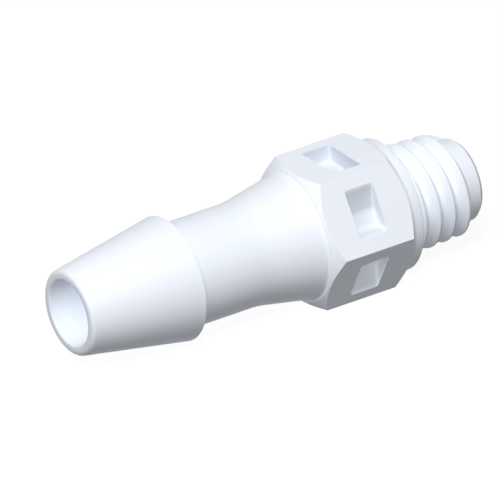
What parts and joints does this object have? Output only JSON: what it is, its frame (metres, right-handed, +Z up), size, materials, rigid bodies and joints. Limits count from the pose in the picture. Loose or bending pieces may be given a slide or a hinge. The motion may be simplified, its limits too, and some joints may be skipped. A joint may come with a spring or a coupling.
{
  "type": "threaded hose barb fitting",
  "caption": "Straight moulded plastic fitting with a male screw thread, a hexagon for a wrench and a tapered barb for a soft hose.",
  "frame": {"origin": "on the fitting's axis, in the face of the collar that seals against the port", "axes": "+X along the axis out of the thread's end, -X towards the barb's tip, +Z up out of one flat of the hexagon"},
  "size_m": [0.0211, 0.0074, 0.0064],
  "materials": {
    "white_plastic": "satin, as moulded"
  },
  "bodies": {
    "root": {"barb_fitting": "white_plastic"}
  },
  "joints": []
}
